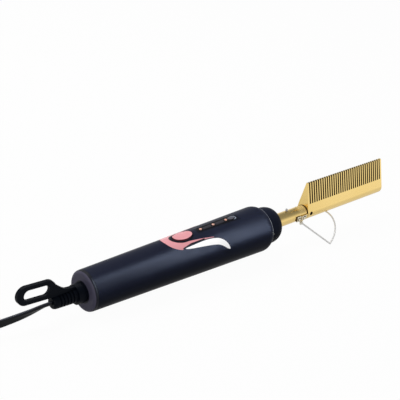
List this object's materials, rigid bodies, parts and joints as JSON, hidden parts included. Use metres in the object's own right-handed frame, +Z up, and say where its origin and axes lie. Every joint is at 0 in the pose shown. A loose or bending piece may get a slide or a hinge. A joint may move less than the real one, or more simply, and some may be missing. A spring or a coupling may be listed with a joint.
{
  "type": "electric hot comb",
  "caption": "Corded electric hot comb: tapered handle with a push button and lights, brass comb on a heated tube, fold-out wire stand, turning cord outlet with a hanging loop.",
  "frame": {"origin": "on the floor under the middle of the object's length, on its centre plane, the cord not counted", "axes": "+X along the handle towards the comb, +Z up with the teeth, button and lights on top, +Y to the left of someone looking along +X; the comb lies as it rests, on its rear rim and the feet of its stand"},
  "size_m": [0.5906, 0.0505, 0.0487],
  "materials": {
    "handle": "satin dark blue-black",
    "cap": "satin dark grey",
    "collar": "satin black",
    "pink": "gloss pink",
    "white": "gloss white",
    "window": "smoked, gloss",
    "lens": "grey, gloss",
    "lights": "clear pinkish",
    "board": "green laminate",
    "dark_parts": "moulded black",
    "frame": "natural grey",
    "screws": "zinc plated",
    "brass": "polished",
    "bush": "heat-resisting moulding",
    "heater": "plain",
    "leads": "insulated wire",
    "dark_steel": "blackened",
    "bracket": "bright, brass tinted",
    "wire": "bright",
    "contacts": "copper alloy",
    "cord_black": "black moulding",
    "cord": "black flex",
    "blades": "nickelled brass"
  },
  "bodies": {
    "handle": {"handle_shell": "handle", "rear_cap": "cap", "nose_collar": "collar", "button_switch": "dark_parts", "pink_inlay": "pink", "white_inlays": "white", "indicator_window": "window", "front_lens": "lens", "light_pipes": "lights", "indicator_lights": "lights", "circuit_board": "board", "board_parts": "dark_parts", "inner_frame": "frame", "board_screws": "screws", "heated_tube": "brass", "tube_bush": "bush", "tube_clamp": "screws", "clamp_screws": "screws", "tube_pin": "screws", "heater_rod": "heater", "heater_leads": "leads", "thermal_fuse": "heater", "comb_head": "brass", "comb_screw": "dark_steel", "stand_bracket": "bracket", "brush_springs": "contacts", "supply_leads": "leads"},
    "button": {"power_button": "pink"},
    "stand": {"stand_wire": "wire"},
    "cord_end": {"swivel_bush": "cord_black", "slip_rings": "contacts", "strain_relief": "cord_black", "hanging_loop": "cord_black", "mains_cord": "cord", "cord_hank": "cord", "cord_tail": "cord", "cord_tie": "cord_black", "plug_body": "cord_black", "plug_blades": "blades"}
  },
  "joints": [
    {"name": "button_press", "type": "slide", "parent": "handle", "child": "button", "axis": [0.0393, 0, -0.9992], "range_m": [0, 0.0007], "stiffness_N_per_m": 900},
    {"name": "stand_fold", "type": "hinge", "parent": "handle", "child": "stand", "pos_m": [0.0771, 0, 0.0146], "axis": [0, 1, 0], "range_deg": [0, 160]},
    {"name": "cord_swivel", "type": "hinge", "parent": "handle", "child": "cord_end", "pos_m": [-0.12152, 0, 0.0137], "axis": [0.9992, 0, 0.0393], "continuous": true}
  ]
}
